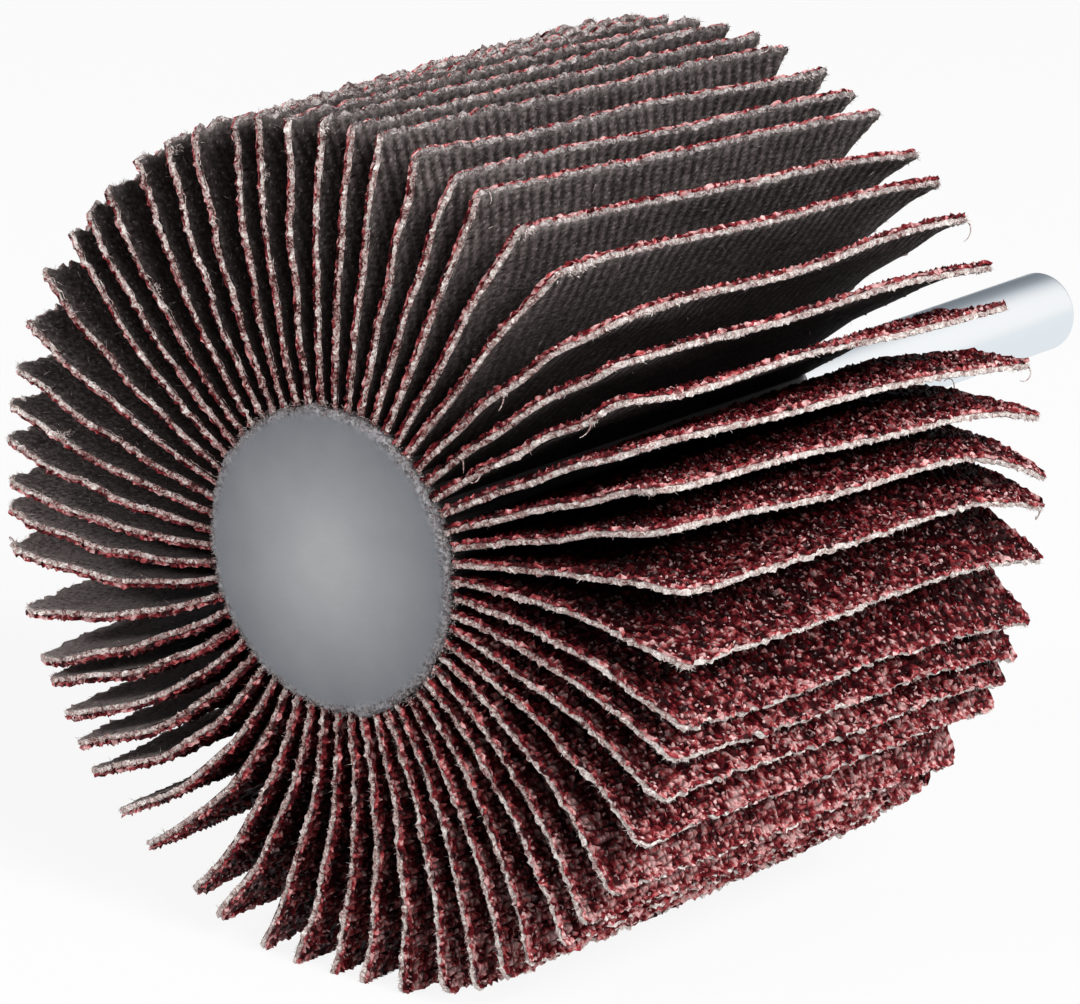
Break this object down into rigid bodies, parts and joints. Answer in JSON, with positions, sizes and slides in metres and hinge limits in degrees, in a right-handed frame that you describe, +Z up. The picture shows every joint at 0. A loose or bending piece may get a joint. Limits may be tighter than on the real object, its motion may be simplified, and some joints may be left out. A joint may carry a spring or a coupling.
{
  "type": "flap wheel",
  "caption": "Mounted flap wheel: abrasive cloth flaps fanned round a cast resin core on a plain steel shank, for sanding and deburring with a drill or die grinder.",
  "frame": {"origin": "on the wheel's axis, where the free shank leaves the resin core", "axes": "+Y along the shank, from the wheel to the shank's free end; +Z up as the wheel lies on its rim; the front disc faces -Y"},
  "size_m": [0.06, 0.0838, 0.0597],
  "materials": {
    "abrasive_cloth": "maroon abrasive grain on one side, ribbed grey-brown cloth on the other",
    "resin": "matte cast grey resin",
    "steel": "bright turned steel"
  },
  "bodies": {
    "root": {"core": "resin", "flap_59": "abrasive_cloth", "flaps_01_02": "abrasive_cloth", "flaps_03_04": "abrasive_cloth", "flaps_05_06": "abrasive_cloth", "flaps_07_08": "abrasive_cloth", "flaps_09_10": "abrasive_cloth", "flaps_11_12": "abrasive_cloth", "flaps_13_14": "abrasive_cloth", "flaps_15_16": "abrasive_cloth", "flaps_17_18": "abrasive_cloth", "flaps_19_20": "abrasive_cloth", "flaps_21_22": "abrasive_cloth", "flaps_23_24": "abrasive_cloth", "flaps_25_26": "abrasive_cloth", "flaps_27_28": "abrasive_cloth", "flaps_29_30": "abrasive_cloth", "flaps_31_32": "abrasive_cloth", "flaps_33_34": "abrasive_cloth", "flaps_35_36": "abrasive_cloth", "flaps_37_38": "abrasive_cloth", "flaps_39_40": "abrasive_cloth", "flaps_41_42": "abrasive_cloth", "flaps_43_44": "abrasive_cloth", "flaps_45_46": "abrasive_cloth", "flaps_47_48": "abrasive_cloth", "flaps_49_50": "abrasive_cloth", "flaps_51_52": "abrasive_cloth", "flaps_53_54": "abrasive_cloth", "flaps_55_56": "abrasive_cloth", "flaps_57_58": "abrasive_cloth", "shank": "steel"}
  },
  "joints": []
}
